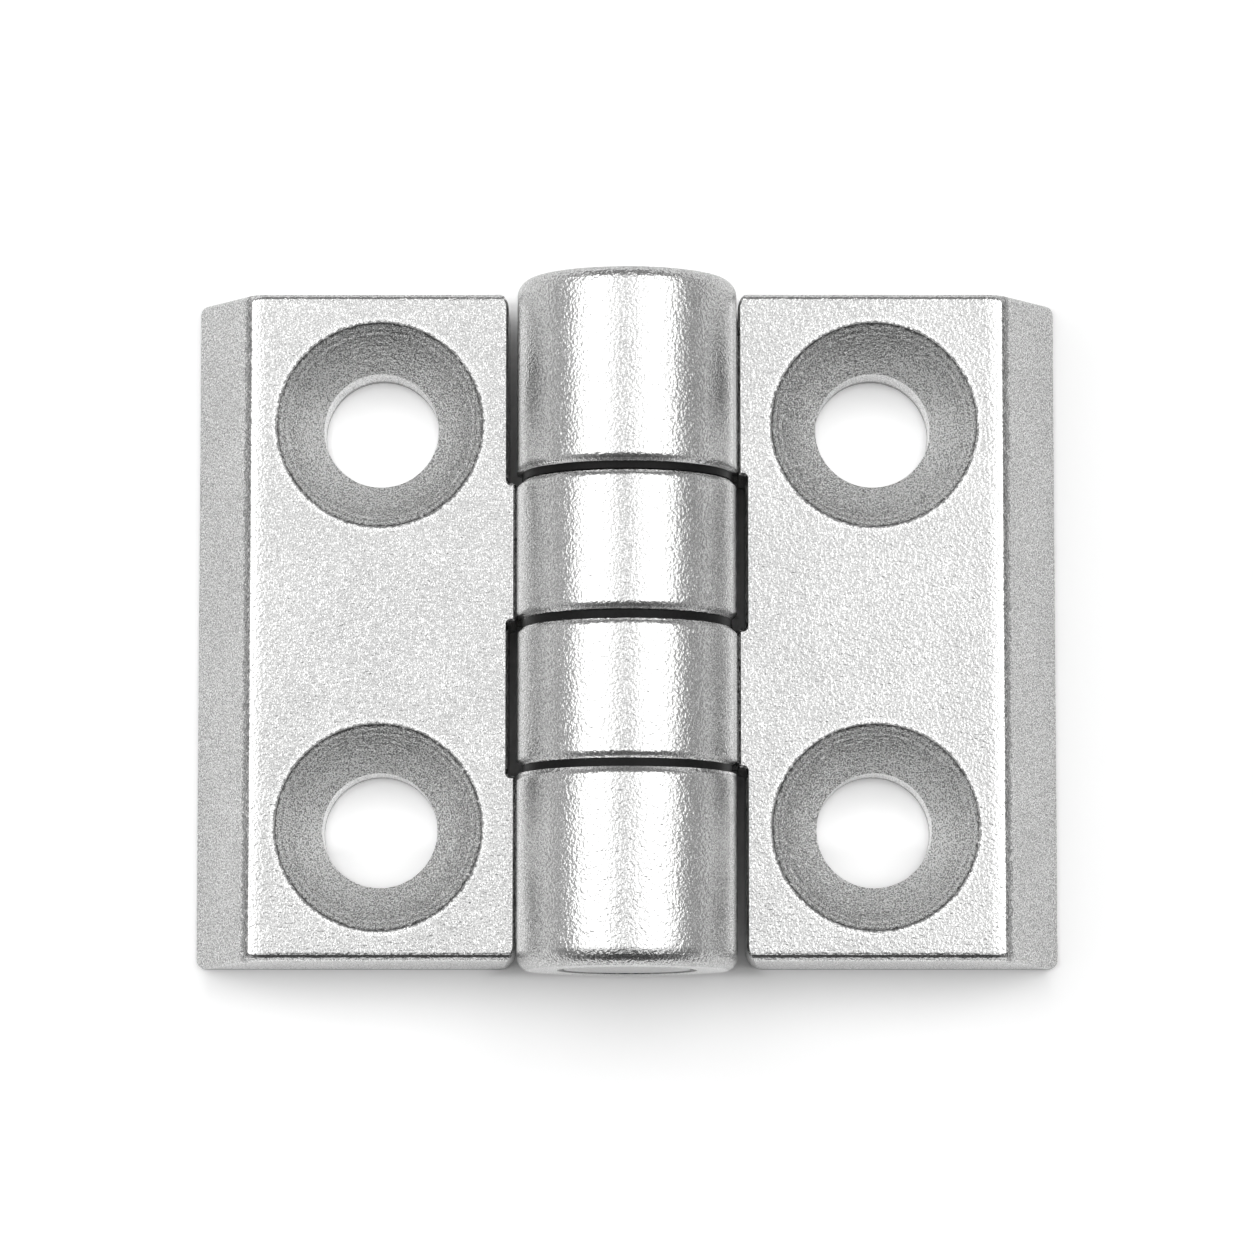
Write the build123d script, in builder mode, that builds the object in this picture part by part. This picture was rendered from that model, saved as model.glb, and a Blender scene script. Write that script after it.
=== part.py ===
from build123d import *

import os

# Butt hinge with two cast leaves on one pin, and thin rings between the knuckles.
# Frame: X across the leaves, Y along the pin, Z up. The origin lies on the mounting face,
# under the middle of the pin. Lengths are in millimetres, angles in degrees.

# Plate of a leaf
leaf_length = 41.0
leaf_reach = 26.3  # from the pin's axis to the outer edge
leaf_thickness = 6.4
bevel_width = 3.5  # plan width of the slope along the outer edge
edge_height = 0.4  # upright edge left under the slope
draft_angle = 2.0  # casting draft of the two ends

# Barrel
knuckle_diameter = 13.3
barrel_overhang = 0.4  # how far the barrel stands past the ends of the plates
knuckle_pitch = 8.9  # from the middle gap to each of the outer gaps
knuckle_gap = 0.5
sweep_gap = 0.55  # between a plate and the other leaf's knuckles
crease_width = 0.1  # between a plate and its own knuckles, above the web
web_drop = 0.8  # how far the web lies below the top of the plate
web_set_back = 2.0  # how far the web stops short of the end of the barrel

# Pin and rings
pin_diameter = 8.0
pin_recess = 0.05  # how far each end of the pin lies inside the barrel
pin_chamfer = 0.2
running_clearance = 0.05  # radial, and also at the faces of the rings
ring_step = 0.3  # how far a ring lies inside the surface of the barrel

# Screw holes
screw_offset = 15.0  # from the pin's axis
screw_spacing = 24.5  # along the pin
screw_bore = 7.0
countersink_diameter = 12.5
countersink_angle = 90.0

# Edges
ridge_radius = 1.6
end_edge_radius = 0.5
inner_edge_chamfer = 0.15
heel_chamfer = 0.3  # under the inner side, where the leaves meet when they fold back
inner_corner_radius = 1.1
outer_corner_radius = 0.6
barrel_end_radius = 1.0
barrel_end_facing = 0.1  # turned off the rounded end of the barrel, which leaves its face flat
knuckle_edge_chamfer = 0.35
bore_mouth_chamfer = 0.15

# Sizes that follow from the ones above
knuckle_radius = knuckle_diameter / 2
axis_height = knuckle_radius
barrel_end = leaf_length / 2 + barrel_overhang
own_edge = knuckle_radius + crease_width
notch_edge = knuckle_radius + sweep_gap
step_radius = 0.4 * (notch_edge - own_edge)
web_height = leaf_thickness - web_drop
pin_length = 2 * (barrel_end - pin_recess)
washer_width = knuckle_gap - running_clearance
running_bore = pin_diameter + 2 * running_clearance

# Places along the pin. The right leaf has the first and the third knuckle from the far end,
# and its notches hold the other two. The left leaf is the same casting, turned half round.
half_gap = knuckle_gap / 2
end_knuckle = (knuckle_pitch + half_gap, barrel_end)
inner_knuckle = (half_gap - knuckle_pitch, -half_gap)
inner_notch = (inner_knuckle[1], end_knuckle[0])
end_notch = (-barrel_end, inner_knuckle[0])

# Each washer lies against a knuckle of the right leaf: its seat, and the way it reaches from there
washer_seats = {
    "far": (end_knuckle[0], -1),
    "middle": (inner_knuckle[1], 1),
    "near": (inner_knuckle[0], -1),
}

# The sketch plane through the pin's axis, with its own X along the pin
pin_section = Plane(origin=(0, 0, axis_height), x_dir=(0, 1, 0), z_dir=(1, 0, 0))
pin_axis = Axis((0, 0, axis_height), (0, 1, 0))


def across_pin(place):
    """The plane square to the pin at this place along it, facing the far end."""
    return Plane(origin=(0, place, axis_height), x_dir=(1, 0, 0), z_dir=(0, 1, 0))


def cast_leaf(pin_bore):
    """The right leaf: a bevelled plate, two knuckles and the webs that join them."""
    with BuildPart() as leaf:
        # Plate: its section is drawn out along the pin, and its ends get their draft
        with BuildSketch(Plane.XZ):
            with BuildLine():
                Polyline(
                    (own_edge, heel_chamfer),
                    (own_edge + heel_chamfer, 0),
                    (leaf_reach, 0),
                    (leaf_reach, edge_height),
                    (leaf_reach - bevel_width, leaf_thickness),
                    (own_edge, leaf_thickness),
                    close=True,
                )
            make_face()
        extrude(amount=leaf_length / 2, both=True)
        draft(leaf.faces().filter_by(Axis.Y), Plane.XY, draft_angle)

        # Plan outline, with notches beside the knuckles of the other leaf
        with BuildSketch() as plan:
            with Locations((own_edge, 0)):
                Rectangle(leaf_reach - own_edge, leaf_length, align=(Align.MIN, Align.CENTER))
            for start, end in (inner_notch, end_notch):
                with Locations((0, start)):
                    Rectangle(
                        notch_edge, end - start, align=(Align.MIN, Align.MIN), mode=Mode.SUBTRACT
                    )
            fillet(plan.vertices().group_by(Axis.Y)[1:-1], step_radius)
            corners = plan.vertices().group_by(Axis.Y)
            fillet((corners[0] + corners[-1]).sort_by(Axis.X)[:2], inner_corner_radius)
        extrude(amount=leaf_thickness, mode=Mode.INTERSECT)

        # Rounded ridge, a chamfered rim along the inner side, and rounded rims of the ends
        fillet(leaf.edges().filter_by(Axis.Y).group_by(Axis.Z)[-1].sort_by(Axis.X)[-1], ridge_radius)
        top = leaf.faces().sort_by(Axis.Z)[-1]
        inner_rim = top.outer_wire().edges().filter_by(
            lambda e: e.center().X < notch_edge + inner_corner_radius
        )
        chamfer(inner_rim, inner_edge_chamfer)
        ends = ShapeList([leaf.faces().sort_by(Axis.Y)[0], leaf.faces().sort_by(Axis.Y)[-1]])
        rims = ends.edges().filter_by(
            lambda e: e.center().Z > edge_height and e.center().X > notch_edge + inner_corner_radius
        )
        fillet(rims, end_edge_radius)

        # Outer corners, rounded in plan
        with BuildSketch():
            RectangleRounded(2 * leaf_reach, leaf_length, outer_corner_radius)
        extrude(amount=leaf_thickness, mode=Mode.INTERSECT)

        # Webs, which stop short of the eased ends of the knuckles
        with BuildSketch():
            for start, end, set_back in (
                (*end_knuckle, web_set_back),
                (*inner_knuckle, knuckle_edge_chamfer),
            ):
                with Locations((0, start + knuckle_edge_chamfer)):
                    Rectangle(
                        notch_edge,
                        end - start - knuckle_edge_chamfer - set_back,
                        align=(Align.MIN, Align.MIN),
                    )
        extrude(amount=web_height)

        # Knuckles, turned about the pin
        with BuildSketch(pin_section) as turning:
            for start, end in (inner_knuckle, (end_knuckle[0], barrel_end + barrel_end_facing)):
                with Locations((start, 0)):
                    Rectangle(end - start, knuckle_radius, align=(Align.MIN, Align.MIN))
            corners = turning.vertices().group_by(Axis.Y)[-1].sort_by(Axis.X)
            fillet(corners[-1], barrel_end_radius)
            chamfer(corners[:-1], knuckle_edge_chamfer)
            with Locations((barrel_end, 0)):
                Rectangle(
                    barrel_end_facing,
                    knuckle_radius,
                    align=(Align.MIN, Align.MIN),
                    mode=Mode.SUBTRACT,
                )
        revolve(axis=pin_axis)

        # Pin bore, open at the end of the barrel
        with Locations(across_pin(0)):
            Hole(pin_bore / 2)
        mouth = leaf.edges().filter_by(GeomType.CIRCLE)
        mouth = mouth.filter_by(lambda e: abs(e.radius - pin_bore / 2) < running_clearance / 2)
        chamfer(mouth.sort_by(Axis.Y)[-1], bore_mouth_chamfer)

        with Locations((screw_offset, 0, leaf_thickness)):
            with GridLocations(0, screw_spacing, 1, 2):
                CounterSinkHole(
                    screw_bore / 2,
                    countersink_diameter / 2,
                    counter_sink_angle=countersink_angle,
                )
    return leaf


with BuildPart() as right_leaf:
    add(cast_leaf(pin_diameter))

with BuildPart() as left_leaf:
    add(cast_leaf(running_bore), rotation=(0, 0, 180))

with BuildPart() as hinge_pin:
    with BuildSketch(across_pin(-pin_length / 2)):
        Circle(pin_diameter / 2)
    extrude(amount=pin_length)
    chamfer(hinge_pin.edges().filter_by(GeomType.CIRCLE), pin_chamfer)

right_leaf.part.label = "right_leaf"
left_leaf.part.label = "left_leaf"
hinge_pin.part.label = "hinge_pin"
pieces = [right_leaf.part, left_leaf.part, hinge_pin.part]

for place, (seat, way) in washer_seats.items():
    with BuildPart() as thrust_washer:
        with BuildSketch(across_pin(seat)):
            Circle(knuckle_radius - ring_step)
            Circle(running_bore / 2, mode=Mode.SUBTRACT)
        extrude(amount=way * washer_width)
    thrust_washer.part.label = f"thrust_washer_{place}"
    pieces.append(thrust_washer.part)

os.makedirs("parts", exist_ok=True)
for piece in pieces:
    export_step(piece, f"parts/{piece.label}.step")
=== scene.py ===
import math

import bpy
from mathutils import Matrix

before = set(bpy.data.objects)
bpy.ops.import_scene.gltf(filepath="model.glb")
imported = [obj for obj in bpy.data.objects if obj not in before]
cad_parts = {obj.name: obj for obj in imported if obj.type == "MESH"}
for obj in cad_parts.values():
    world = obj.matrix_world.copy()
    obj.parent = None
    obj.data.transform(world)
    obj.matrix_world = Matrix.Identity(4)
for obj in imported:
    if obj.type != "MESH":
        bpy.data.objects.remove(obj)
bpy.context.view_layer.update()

# Metres throughout, in the frame of the CAD: X across the leaves, Y along the pin, Z up.
# The materials measure in each piece's own coordinates, which are this frame while the hinge lies
# open, so that the marks ride with the leaves. A pair of numbers gives the two ends of a ramp:
# the places where it starts and is full, or its levels there.

# Sizes of the CAD
HOLE_X = 0.015
HOLE_Y = 0.01225
COUNTERSINK_RADIUS = 0.00625
BORE_RADIUS = 0.0035
BARREL_RADIUS = 0.00665
PIN_HEIGHT = BARREL_RADIUS
KNUCKLE_PITCH = 0.0089
HALF_GAP = 0.00025
HALF_LENGTH = 0.0205  # of the plates
REACH = 0.0263

# Noises: scale, detail, roughness
PITS = (5200.0, 1.0, 0.55)
GRAIN = (12000.0, 0.0, 0.5)
WAVES = (260.0, 0.0, 0.5)
RINGS = (7000.0, 0.0, 0.5)
GLINT_NOISE = (5200.0, 0.0, 0.5)
TEARS = (4200.0, 1.0, 0.6)
PIN_RINGS = (6000.0, 2.0, 0.6)
PIN_GRAIN = (5000.0, 2.0, 0.5)
WASHER_GRAIN = (6000.0, 2.0, 0.5)
NOISE_RANGE = (0.3, 0.7)  # where nearly all values of a noise lie


# ---------------------------------------------------------------- node helpers

class Tree:
    """A node tree that is built up with short calls. A value is a number or a socket."""

    def __init__(self, tree):
        self.tree = tree
        self.tree.nodes.clear()

    def node(self, kind, inputs=None, **settings):
        made = self.tree.nodes.new(kind)
        for name, value in settings.items():
            setattr(made, name, value)
        for name, value in (inputs or {}).items():
            self.feed(made.inputs[name], value)
        return made

    def feed(self, socket, value):
        if isinstance(value, bpy.types.NodeSocket):
            self.tree.links.new(value, socket)
        else:
            socket.default_value = value

    def math(self, operation, *values, clamp=False):
        made = self.node("ShaderNodeMath", operation=operation, use_clamp=clamp)
        for socket, value in zip(made.inputs, values):
            self.feed(socket, value)
        return made.outputs[0]

    def plus(self, first, second):
        return self.math("ADD", first, second)

    def minus(self, first, second):
        return self.math("SUBTRACT", first, second)

    def times(self, first, *others):
        for other in others:
            first = self.math("MULTIPLY", first, other)
        return first

    def absolute(self, value):
        return self.math("ABSOLUTE", value)

    def over(self, value, limit):
        return self.math("GREATER_THAN", value, limit)

    def under(self, value, limit):
        return self.math("LESS_THAN", value, limit)

    def length(self, first, second):
        """The length of a vector with these two parts."""
        squares = self.plus(self.times(first, first), self.times(second, second))
        return self.math("SQRT", squares)

    def ramp(self, value, places, levels=(0.0, 1.0), smooth=True):
        """Runs from the first level at the first place to the second at the second."""
        made = self.node(
            "ShaderNodeMapRange",
            {
                "Value": value,
                "From Min": places[0],
                "From Max": places[1],
                "To Min": levels[0],
                "To Max": levels[1],
            },
            interpolation_type="SMOOTHSTEP" if smooth else "LINEAR",
        )
        return made.outputs[0]

    def band(self, value, rise, fall):
        """Full between two ramps, and nothing outside them."""
        return self.times(self.ramp(value, rise), self.ramp(value, fall))

    def noise(self, vector, kind):
        scale, detail, roughness = kind
        made = self.node(
            "ShaderNodeTexNoise",
            {"Vector": vector, "Scale": scale, "Detail": detail, "Roughness": roughness},
        )
        return made.outputs[0]

    def mix(self, factor, first, second):
        made = self.node("ShaderNodeMix", data_type="FLOAT")
        for socket, value in zip(made.inputs, (factor, None, first, second)):
            if value is not None:
                self.feed(socket, value)
        return made.outputs[0]

    def level(self, mask, value):
        """A factor that is this value where the mask is full, and 1 outside it."""
        return self.mix(mask, 1.0, value)

    def split(self, vector):
        return self.node("ShaderNodeSeparateXYZ", {0: vector}).outputs

    def vector(self, x, y, z=0.0):
        return self.node("ShaderNodeCombineXYZ", {"X": x, "Y": y, "Z": z}).outputs[0]

    def colour(self, red, green, blue):
        parts = {"Red": red, "Green": green, "Blue": blue}
        return self.node("ShaderNodeCombineColor", parts).outputs[0]

    def bump(self, height, distance, **inputs):
        inputs = {"Height": height, "Strength": 1.0, "Distance": distance, **inputs}
        return self.node("ShaderNodeBump", inputs).outputs[0]

    def principled(self, inputs):
        shader = self.node("ShaderNodeBsdfPrincipled", inputs)
        self.node("ShaderNodeOutputMaterial", {"Surface": shader.outputs[0]})


def new_material(name, kind=Tree):
    material = bpy.data.materials.new(name)
    material.use_nodes = True
    return material, kind(material.node_tree)


def from_nearest_hole(t, x_away, y_away):
    """How far out a place is from the nearest screw hole, and how far from its axis in all."""
    outwards = t.minus(x_away, HOLE_X)
    return outwards, t.length(outwards, t.minus(y_away, HOLE_Y))


# ---------------------------------------------------------------- leaf metal

# Sides by the upright part of the normal, and end faces by its part along Y
SIDE = (0.76, 0.6)
END_FACE = (0.85, 0.97)
ABOVE_BASE = (0.00005, 0.0002)  # by height, which keeps the holes' looks off the mounting face
HOLE_RIM = (COUNTERSINK_RADIUS + 0.00004, COUNTERSINK_RADIUS - 0.00004)
BARREL_REACH = BARREL_RADIUS + 0.00002
BARREL_SKIN = BARREL_RADIUS - 0.0004

# Rounded look of the knuckles' ends
KNUCKLE_ROUNDING = 0.0005
KNUCKLE_SINE = (0.0, 0.92)  # of the slope, before its limit
KNUCKLE_LIMIT = 0.64

# The ridge of a plate is flatter on its upper side than an arc, and ends in a firm edge
RIDGE_FACING = (0.8, 0.83)
RIDGE_FROM_X = 0.0215
RIDGE_OFF_ENDS = (0.3, 0.1)
RIDGE_FLATNESS = 0.32

# Depth of the surface. Blasting shows most on the barrel's flanks and on the rims of the ends.
BUMP_DEPTH = 0.00004
RING_STRETCH = 0.5  # of the rings along Z
HOLE_RINGS = 0.3
HOLE_PITS = 1.2
FLANK = (0.95, 0.8)
FLANK_DEPTH = 1.25
RIM_RISE = (0.15, 0.3)
RIM_FALL = (0.75, 0.6)
RIM_FROM_Y = 0.0194
RIM_DEPTH = 1.5

# How much the grain darkens each part
GRAIN_TOP = 0.18
GRAIN_SIDE = 0.55
GRAIN_BARREL_SIDE = 0.4
GRAIN_HOLE = 0.65

# Painted shade and painted highlights in and round the holes, most of them by the distance from
# the edge of the countersink
TEAR = 0.00007  # how far the noise moves a torn line
HOLE_LINE = (0.00012, 0.00005)
HOLE_LINE_LEVEL = 0.35
# Painted highlights: light circles on the tool rings inside the rim
HOLE_CIRCLES = (0.00026, 0.00058)
HOLE_CIRCLE = (0.00011, 0.00004)
HOLE_CIRCLE_LEVEL = 1.35
# Painted highlight: a light halo just outside the rim
HALO_RISE = (-0.0004, -0.00025)
HALO_FALL = (-0.00008, -0.00012)
HALO_FACING = (0.98, 0.99)
HALO_LEVEL = 1.2
# Painted shade at the foot of the bore
BORE_FOOT = (BORE_RADIUS + 0.0002, BORE_RADIUS + 0.0001)
BORE_FOOT_TOP = (0.0009, 0.0006)
BORE_FOOT_LEVEL = 0.4

# Painted shade: dark lines on the barrel and the plates
WIDEST = (0.00646, 0.00656)
WIDEST_SHIFT = 0.00012
WIDEST_LEVEL = 0.65
MOUTH_RADIUS = 0.00421
MOUTH_Y = (0.0205, 0.0206)
MOUTH_LEVEL = 0.3
CREASE_RISE = (0.00662, 0.00665)
CREASE_FALL = (0.00679, 0.00677)
CREASE_FLOOR = 0.0035
CREASE_LEVEL = 0.3
RIDGE_LINE_X = 0.02304  # where the ridge meets the slope
RIDGE_LINE = (0.0002, 0.00012)
RIDGE_LINE_FLOOR = 0.0048
RIDGE_LINE_LEVEL = 0.55
RIDGE_TEARS = 2.0  # the ridge's line is torn this much more than the others
PLATE_RIM_RISE = (0.01975, 0.0199)
PLATE_RIM_FALL = (0.02012, 0.02006)
PLATE_RIM_FLOOR = 0.006
BARREL_RIM_RISE = (0.01975, 0.02)
BARREL_RIM_FALL = (0.0206, 0.0205)
BARREL_RIM_FACING = (0.7, 0.85)
NEAR_RIM_LEVEL = 0.57

# Painted highlights: bright lines along the ends of the knuckles and the inner edges of the plates
KNUCKLE_EDGE_HIGHLIGHT = (HALF_GAP + 0.00018, HALF_GAP + 0.0001)
PLATE_EDGE_HIGHLIGHT_RISE = (0.0068, 0.00683)
PLATE_EDGE_HIGHLIGHT_FALL = (0.00695, 0.00691)
PLATE_EDGE_HIGHLIGHT_FLOOR = 0.0061
EDGE_HIGHLIGHT_LEVEL = 0.85

# Shades of the metal, and its roughness
CAST_SHADE = (0.56, 0.59)
SIDE_SHADE = 0.86
# Painted on the end faces: a contact shadow at their foot, and light above it
END_FOOT = (0.0003, 0.0008)
END_SHADE = (0.4, 1.2)
CONE_SHADE = 0.56
# Painted light in the countersinks: lighter towards the bore and on their outer side
CONE_DEPTH = (0.0, 0.0027)
CONE_BY_DEPTH = (0.9, 1.3)
CONE_OUTWARDS = (-0.005, 0.005)
CONE_BY_SIDE = (0.84, 1.17)
# Painted glints: bright specks in the countersinks
GLINT_RANGE = (0.7, 0.76)
GLINT_LEVEL = 0.95
BLUE = 0.995  # of the blue to the rest
CAST_ROUGHNESS = (0.24, 0.18)
SIDE_ROUGHNESS = 0.26
HOLE_ROUGHNESS = 0.36


class LeafMetal(Tree):
    """Blasted casting with turned countersinks, with painted shade and painted highlights along
    its edges and round its holes.
    """

    def __init__(self, tree):
        super().__init__(tree)
        texture = self.node("ShaderNodeTexCoord")
        self.coords = texture.outputs["Object"]
        self.cad_normal = texture.outputs["Normal"]

        # Where the place is
        self.x, self.y, self.z = self.split(self.coords)
        self.x_away = self.absolute(self.x)
        self.y_away = self.absolute(self.y)
        self.up = self.minus(self.z, PIN_HEIGHT)
        self.from_pin = self.length(self.x, self.up)
        self.outwards, self.from_hole = from_nearest_hole(self, self.x_away, self.y_away)
        self.inside = self.minus(COUNTERSINK_RADIUS, self.from_hole)

        # Which way it faces
        facing_y, self.facing = self.split(self.cad_normal)[1:]
        self.facing_ends = self.absolute(facing_y)

        # What it belongs to
        self.side = self.ramp(self.absolute(self.facing), SIDE)
        self.above = self.ramp(self.z, ABOVE_BASE)
        self.barrel = self.under(self.x_away, BARREL_REACH)
        self.machined = self.times(self.ramp(self.from_hole, HOLE_RIM), self.above)

        self.pits = self.noise(self.coords, PITS)
        tears = self.noise(self.coords, TEARS)
        self.tears = self.ramp(tears, NOISE_RANGE, (-TEAR, TEAR), smooth=False)

        # The nearest gap between knuckles
        self.past_gap = self.math("WRAP", self.y, KNUCKLE_PITCH / 2, -KNUCKLE_PITCH / 2)
        self.from_gap = self.absolute(self.past_gap)
        skin = self.times(self.barrel, self.over(self.from_pin, BARREL_SKIN))
        between = self.times(skin, self.under(self.y_away, 1.5 * KNUCKLE_PITCH))
        close = self.under(self.from_gap, HALF_GAP + KNUCKLE_ROUNDING)
        self.knuckle_end = self.times(between, close)

    def rounded_knuckle(self):
        """The normal of the barrel, turned towards the gap close to each end of a knuckle."""
        rounding = (HALF_GAP + KNUCKLE_ROUNDING, HALF_GAP)
        sine = self.ramp(self.from_gap, rounding, KNUCKLE_SINE, smooth=False)
        sine = self.math("MINIMUM", sine, KNUCKLE_LIMIT)
        cosine = self.math("SQRT", self.minus(1.0, self.times(sine, sine)))
        tangent = self.math("DIVIDE", sine, cosine)
        inwards = self.times(tangent, self.times(self.from_pin, -1.0))
        tilt = self.times(self.math("SIGN", self.past_gap), inwards)
        return self.vector(self.x, tilt, self.up)

    def flattened_ridge(self):
        """The normal of the CAD, but more upright on the upper side of the ridge."""
        ridge = self.times(
            self.ramp(self.facing, RIDGE_FACING),
            self.over(self.x_away, RIDGE_FROM_X),
            self.ramp(self.facing_ends, RIDGE_OFF_ENDS),
        )
        flatness = self.level(ridge, RIDGE_FLATNESS)
        inputs = {0: self.cad_normal, 1: self.vector(flatness, flatness, 1.0)}
        return self.node("ShaderNodeVectorMath", inputs, operation="MULTIPLY").outputs[0]

    def surface(self):
        """The rounded forms above, and on them the pits and the rings of the countersinks."""
        shaped = self.node("ShaderNodeMix", data_type="VECTOR")
        self.feed(shaped.inputs[0], self.knuckle_end)
        self.feed(shaped.inputs[4], self.flattened_ridge())
        self.feed(shaped.inputs[5], self.rounded_knuckle())
        unit = self.node("ShaderNodeVectorMath", {0: shaped.outputs[1]}, operation="NORMALIZE")
        normal = self.node(
            "ShaderNodeVectorTransform",
            {0: unit.outputs[0]},
            vector_type="NORMAL",
            convert_from="OBJECT",
            convert_to="WORLD",
        )

        rings = self.noise(self.vector(self.from_hole, self.times(self.z, RING_STRETCH)), RINGS)
        turned = self.plus(self.times(rings, HOLE_RINGS), self.times(self.pits, HOLE_PITS))
        flank = self.times(self.barrel, self.ramp(self.facing, FLANK))
        rim = self.band(self.facing_ends, RIM_RISE, RIM_FALL)
        rim = self.times(rim, self.over(self.y_away, RIM_FROM_Y))
        height = self.times(
            self.mix(self.machined, self.pits, turned),
            self.level(flank, FLANK_DEPTH),
            self.level(rim, RIM_DEPTH),
        )
        return self.bump(height, BUMP_DEPTH, Normal=normal.outputs[0])

    def hole_marks(self):
        """Painted shade: a dark line on the rim and a dark foot of the bore. Painted highlights:
        light circles of tool rings inside the rim, and a light halo outside it.
        """
        # Painted shade: a dark line along the rim of the countersink
        line = self.ramp(self.absolute(self.plus(self.inside, self.tears)), HOLE_LINE)
        yield self.times(self.above, line), HOLE_LINE_LEVEL
        # Painted highlights on the tool rings inside the rim
        for depth in HOLE_CIRCLES:
            circle = self.ramp(self.absolute(self.minus(self.inside, depth)), HOLE_CIRCLE)
            yield self.times(self.above, circle), HOLE_CIRCLE_LEVEL
        # Painted shade at the foot of the bore
        foot = self.times(self.ramp(self.from_hole, BORE_FOOT), self.ramp(self.z, BORE_FOOT_TOP))
        yield foot, BORE_FOOT_LEVEL
        # A painted highlight: a light halo just outside the rim, on the tops
        halo = self.band(self.inside, HALO_RISE, HALO_FALL)
        yield self.times(halo, self.ramp(self.facing, HALO_FACING)), HALO_LEVEL

    def edge_lines(self):
        """Painted shade: dark lines along the edges of the barrel and the plates."""
        # Painted shade on the sides of the barrel at their widest, beside the plates, and wider on
        # the right
        right, left = self.plus(self.x, WIDEST_SHIFT), self.times(self.x, -1.0)
        widest = self.ramp(self.math("MAXIMUM", right, left), WIDEST)
        yield self.times(self.barrel, widest, self.over(self.up, 0.0)), WIDEST_LEVEL
        # Painted shade in the mouth of the pin bore
        mouth = self.under(self.from_pin, MOUTH_RADIUS)
        yield self.times(mouth, self.ramp(self.y_away, MOUTH_Y)), MOUTH_LEVEL
        # Painted shade in the crease beside each knuckle
        crease = self.band(self.x_away, CREASE_RISE, CREASE_FALL)
        yield self.times(crease, self.over(self.z, CREASE_FLOOR)), CREASE_LEVEL
        # A painted dark reflection on the line where the ridge meets the slope
        from_line = self.minus(self.x_away, RIDGE_LINE_X)
        from_line = self.math("MULTIPLY_ADD", self.tears, RIDGE_TEARS, from_line)
        line = self.ramp(self.absolute(from_line), RIDGE_LINE)
        yield self.times(line, self.over(self.z, RIDGE_LINE_FLOOR)), RIDGE_LINE_LEVEL
        # Painted shade on the rims of the near side, a little further in than their arcs
        near = self.minus(self.tears, self.y)
        plate_rim = self.band(near, PLATE_RIM_RISE, PLATE_RIM_FALL)
        plate_rim = self.times(plate_rim, self.over(self.z, PLATE_RIM_FLOOR))
        barrel_rim = self.band(near, BARREL_RIM_RISE, BARREL_RIM_FALL)
        barrel_rim = self.times(barrel_rim, self.ramp(self.facing, BARREL_RIM_FACING))
        yield self.mix(self.barrel, plate_rim, barrel_rim), NEAR_RIM_LEVEL

    def painted_edge_highlights(self):
        """Painted highlights: the outer ends of the knuckles and the inner edges of the plates are
        made bright, as their rounded edges would catch the light.
        """
        knuckle = self.times(self.knuckle_end, self.ramp(self.from_gap, KNUCKLE_EDGE_HIGHLIGHT))
        plate = self.band(self.x_away, PLATE_EDGE_HIGHLIGHT_RISE, PLATE_EDGE_HIGHLIGHT_FALL)
        plate = self.times(self.over(self.z, PLATE_EDGE_HIGHLIGHT_FLOOR), plate)
        return self.math("MAXIMUM", knuckle, plate)

    def cast_shade(self):
        """Tops, slopes and end faces. The end faces get painted light, with a painted contact
        shadow as a dark line at their foot.
        """
        end_face = self.ramp(self.facing_ends, END_FACE)
        # Painted contact shadow at the foot of the end faces, and painted light above it
        side_shade = self.mix(end_face, SIDE_SHADE, self.ramp(self.z, END_FOOT, END_SHADE))
        waves = self.ramp(self.noise(self.coords, WAVES), NOISE_RANGE, CAST_SHADE)
        return self.times(waves, self.level(self.side, side_shade))

    def cone_shade(self):
        """Countersinks and bores, with painted light: lighter towards the bore and on their outer
        side.
        """
        by_depth = self.ramp(self.inside, CONE_DEPTH, CONE_BY_DEPTH)
        by_side = self.ramp(self.outwards, CONE_OUTWARDS, CONE_BY_SIDE)
        return self.times(by_depth, by_side, CONE_SHADE)

    def shade(self):
        # A fine grain, lighter and darker at random
        strength = self.mix(self.barrel, GRAIN_SIDE, GRAIN_BARREL_SIDE)
        strength = self.mix(self.side, GRAIN_TOP, strength)
        strength = self.mix(self.machined, strength, GRAIN_HOLE)
        grain = self.ramp(self.noise(self.coords, GRAIN), NOISE_RANGE, (-1.0, 1.0), smooth=False)
        grain = self.plus(1.0, self.times(grain, strength))

        # Painted shade and painted highlights of the holes and the edges
        marks = self.times(
            *(self.level(*mark) for mark in (*self.hole_marks(), *self.edge_lines()))
        )
        shade = self.mix(self.machined, self.cast_shade(), self.cone_shade())
        shade = self.times(shade, self.times(grain, marks))
        # Painted highlights along the ends of the knuckles and the inner edges of the plates
        shade = self.mix(self.painted_edge_highlights(), shade, self.times(grain, EDGE_HIGHLIGHT_LEVEL))
        # Painted glints: bright specks in the countersinks
        glints = self.times(self.ramp(self.noise(self.coords, GLINT_NOISE), GLINT_RANGE), self.machined)
        return self.mix(glints, shade, GLINT_LEVEL)

    def roughness(self):
        roughness = self.ramp(self.pits, NOISE_RANGE, CAST_ROUGHNESS)
        roughness = self.mix(self.side, roughness, SIDE_ROUGHNESS)
        return self.mix(self.machined, roughness, HOLE_ROUGHNESS)


def leaf_metal():
    material, t = new_material("leaf_metal", LeafMetal)
    shade = t.shade()
    t.principled({
        "Base Color": t.colour(shade, shade, t.times(shade, BLUE)),
        "Metallic": 1.0,
        "Roughness": t.roughness(),
        "Normal": t.surface(),
    })
    return material


# ---------------------------------------------------------------- pin and washers

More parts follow.
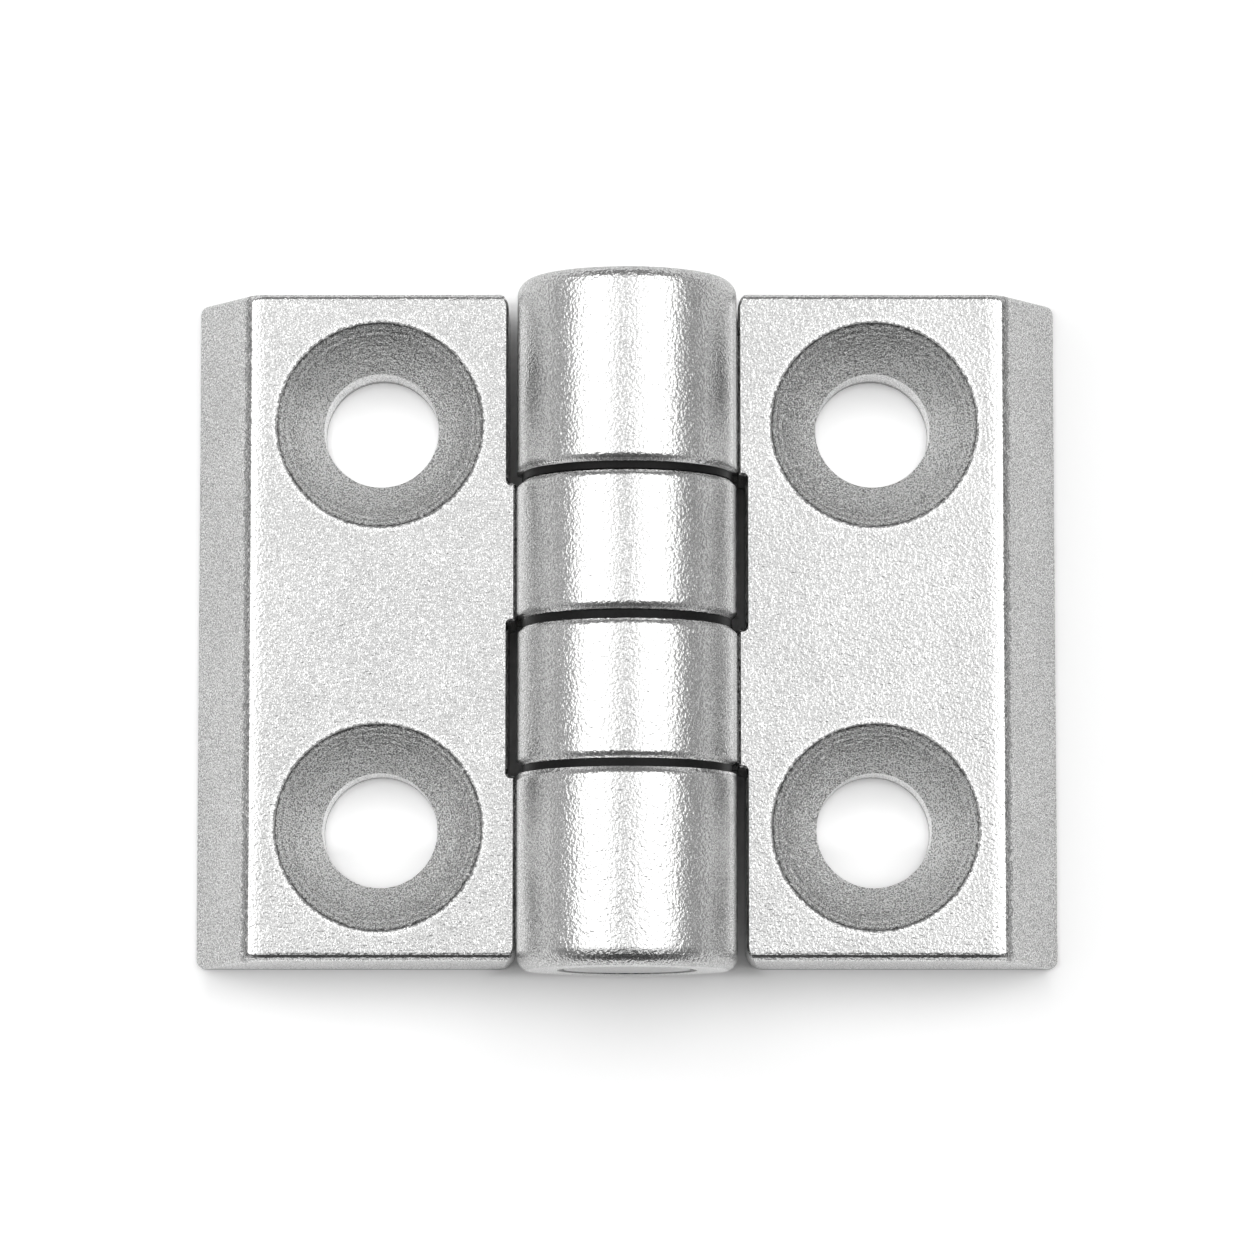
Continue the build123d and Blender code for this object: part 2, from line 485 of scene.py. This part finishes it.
PIN_DEPTH = 0.00001
PIN_RING_SHARE = 0.7
PIN_GRAIN_SHARE = 0.3
PIN_SHADE = (0.43, 0.53)
PIN_ROUGHNESS = (0.26, 0.4)
# Painted shade on the chamfers at the pin's ends
PIN_CHAMFER = (0.00378, 0.00382)  # by radius
PIN_CHAMFER_LEVELS = (1.0, 0.25)

WASHER_DEPTH = 0.00001
WASHER_SHADE = (0.005, 0.01)
WASHER_ROUGHNESS = (0.4, 0.5)
WASHER_SPECULAR = 0.12


def pin_steel():
    """Turned steel, with rings round its axis, and painted shade on the chamfers at its ends."""
    material, t = new_material("pin_steel")
    coords = t.node("ShaderNodeTexCoord").outputs["Object"]
    x, y, z = t.split(coords)
    radius = t.length(x, t.minus(z, PIN_HEIGHT))
    rings = t.noise(t.vector(radius, y), PIN_RINGS)
    grain = t.noise(coords, PIN_GRAIN)
    height = t.plus(t.times(rings, PIN_RING_SHARE), t.times(grain, PIN_GRAIN_SHARE))
    shade = t.ramp(rings, NOISE_RANGE, PIN_SHADE)
    # Painted shade on the chamfer at each end
    shade = t.times(shade, t.ramp(radius, PIN_CHAMFER, PIN_CHAMFER_LEVELS))
    t.principled({
        "Base Color": t.colour(shade, shade, shade),
        "Metallic": 1.0,
        "Roughness": t.ramp(grain, NOISE_RANGE, PIN_ROUGHNESS),
        "Normal": t.bump(height, PIN_DEPTH),
    })
    return material


def washer_plastic():
    material, t = new_material("washer_plastic")
    coords = t.node("ShaderNodeTexCoord").outputs["Object"]
    grain = t.noise(coords, WASHER_GRAIN)
    shade = t.ramp(grain, NOISE_RANGE, WASHER_SHADE)
    t.principled({
        "Base Color": t.colour(shade, shade, shade),
        "Roughness": t.ramp(grain, NOISE_RANGE, WASHER_ROUGHNESS),
        "Specular IOR Level": WASHER_SPECULAR,
        "Normal": t.bump(grain, WASHER_DEPTH),
    })
    return material


def dress(nodes, material):
    """Give these pieces of the CAD this material, in every slot that they have."""
    for node in nodes:
        piece = bpy.data.objects[node]
        if not piece.material_slots:
            piece.data.materials.append(material)
        for slot in piece.material_slots:
            slot.material = material


dress(("right_leaf", "left_leaf"), leaf_metal())
dress(("hinge_pin",), pin_steel())
dress([f"thrust_washer_{place}" for place in ("far", "middle", "near")], washer_plastic())


# ---------------------------------------------------------------- floor

FLOOR_SIZE = 6.0
FLOOR_HEIGHT = -0.00002  # a hair below the mounting face
FLOOR_COLOUR = (0.9, 0.9, 0.9, 1)
# Painted light: more glow on the left and at the foot of each screw hole
GLOW_X = (-0.05, 0.05)
GLOW = (0.25, 0.17)
HOLE_GLOW_RADIUS = (0.0037, 0.003)
HOLE_GLOW = (0.0, 0.22)
BESIDE_BARREL = (0.0075, 0.009)
BEYOND_BARREL = (0.0205, 0.0212)
# Painted shadow: less glow along the near side of the hinge
NEAR_SIDE = (-HALF_LENGTH, -HALF_LENGTH - 0.003)
NEAR_GLOW = (0.6, 1.0)
UNDER_HINGE = (-0.015, -0.012)
PAST_LEAVES = (REACH - 0.002, REACH)


def floor_material():
    """Pale and dull. It also glows where it is seen, which brings the background to white. The
    glow is uneven, with painted light on the left and at the foot of the screw holes, and painted
    shadow along the near side.
    """
    material, t = new_material("floor")
    coords = t.node("ShaderNodeTexCoord").outputs["Object"]
    x, y, _ = t.split(coords)
    x_away, y_away = t.absolute(x), t.absolute(y)
    diffuse = t.node("ShaderNodeBsdfDiffuse", {"Color": FLOOR_COLOUR})
    path = t.node("ShaderNodeLightPath").outputs
    seen = t.plus(path["Is Camera Ray"], path["Is Glossy Ray"])
    seen = t.math("ADD", seen, path["Is Transmission Ray"], clamp=True)

    # Painted light: the glow is stronger on the left, and more at the foot of each screw hole,
    # where the plates keep out most of the light
    level = t.ramp(x, GLOW_X, GLOW)
    from_hole = from_nearest_hole(t, x_away, y_away)[1]
    level = t.plus(level, t.ramp(from_hole, HOLE_GLOW_RADIUS, HOLE_GLOW))
    # Painted shadow: less glow along the near side, where the hinge keeps the light off the floor
    shadow = t.math("MAXIMUM", t.ramp(y, NEAR_SIDE, NEAR_GLOW), t.ramp(y, UNDER_HINGE))
    shadow = t.math("MAXIMUM", shadow, t.ramp(x_away, PAST_LEAVES))
    # None under the barrel, so that the gaps beside it stay dark
    clear = t.math("MAXIMUM", t.ramp(x_away, BESIDE_BARREL), t.ramp(y_away, BEYOND_BARREL))
    level = t.times(seen, t.times(clear, t.times(level, shadow)))

    glow = t.node("ShaderNodeEmission", {"Color": (1, 1, 1, 1), "Strength": level})
    both = t.node("ShaderNodeAddShader", {0: diffuse.outputs[0], 1: glow.outputs[0]})
    t.node("ShaderNodeOutputMaterial", {"Surface": both.outputs[0]})
    return material


bpy.ops.mesh.primitive_plane_add(size=FLOOR_SIZE, location=(0, 0, FLOOR_HEIGHT))
floor = bpy.context.object
floor.name = "floor"
floor.data.materials.append(floor_material())


# ---------------------------------------------------------------- studio light

# Two panels over the hinge and a dimmer stretch between them, with their edges on a ceiling one
# unit up, and pale walls all round. The levels are on a scale where 1 is white.
PANEL_LEVEL = 2.62
PANELS_NEAR = (-0.29, -0.09)
PANELS_FAR = (0.85, 0.65)
LEFT_PANEL_INNER = (-0.17, -0.3)
LEFT_PANEL_OUTER = (-1.65, -1.25)
RIGHT_PANEL_INNER = (0.11, 0.24)
RIGHT_PANEL_OUTER = (1.75, 0.85)
MIDDLE_LEVEL = 1.07
MIDDLE_X = -0.03
MIDDLE_EDGE = (0.27, 0.14)
WALLS_X = (0.56, 0.45)  # left and right
WALLS_Y = (0.15, 0.32)  # near and far
WALL_BLEND = (-0.4, 0.4)  # from one wall to the one across
WALL_CORNER = (0.3, 0.9)  # from the walls along Y to those along X
LEAST_LIFT = 0.02  # keeps the ceiling's places finite near the horizon


def studio_world():
    world = bpy.data.worlds.new("studio")
    world.use_nodes = True
    t = Tree(world.node_tree)
    dx, dy, dz = t.split(t.node("ShaderNodeTexCoord").outputs["Generated"])
    # Where the ray meets the ceiling
    lift = t.math("MAXIMUM", dz, LEAST_LIFT)
    across = t.math("DIVIDE", dx, lift)
    along = t.math("DIVIDE", dy, lift)
    in_y = t.band(along, PANELS_NEAR, PANELS_FAR)
    left = t.band(across, LEFT_PANEL_INNER, LEFT_PANEL_OUTER)
    right = t.band(across, RIGHT_PANEL_INNER, RIGHT_PANEL_OUTER)
    panels = t.times(t.plus(left, right), in_y)
    from_middle = t.absolute(t.minus(across, MIDDLE_X))
    middle = t.times(t.ramp(from_middle, MIDDLE_EDGE), in_y)
    corner = t.ramp(t.absolute(dx), WALL_CORNER)
    walls = t.mix(corner, t.ramp(dy, WALL_BLEND, WALLS_Y), t.ramp(dx, WALL_BLEND, WALLS_X))
    level = t.plus(t.times(panels, PANEL_LEVEL), t.times(middle, MIDDLE_LEVEL))
    rest = t.minus(1.0, t.plus(panels, middle))
    level = t.plus(level, t.times(rest, walls))
    background = t.node("ShaderNodeBackground", {"Color": (1, 1, 1, 1), "Strength": level})
    t.node("ShaderNodeOutputWorld", {"Surface": background.outputs[0]})
    # The panels are wide, so rays find them without a light map of the world
    world.cycles.sampling_method = "NONE"
    return world


bpy.context.scene.world = studio_world()


# ---------------------------------------------------------------- camera

CAMERA_PLACE = (0.0, -0.04079, 0.37369)
CAMERA_TILT = 6.319  # degrees off straight down
CAMERA_LENS = 175.46  # millimetres, as the sensor
CAMERA_SENSOR = 36.0
CAMERA_CLIP = (0.01, 20.0)

camera_data = bpy.data.cameras.new("camera")
camera_data.lens = CAMERA_LENS
camera_data.sensor_width = CAMERA_SENSOR
camera_data.clip_start, camera_data.clip_end = CAMERA_CLIP
camera = bpy.data.objects.new("camera", camera_data)
camera.location = CAMERA_PLACE
camera.rotation_euler = (math.radians(CAMERA_TILT), 0, 0)
bpy.context.scene.collection.objects.link(camera)
bpy.context.scene.camera = camera
bpy.context.scene.view_settings.view_transform = "Standard"
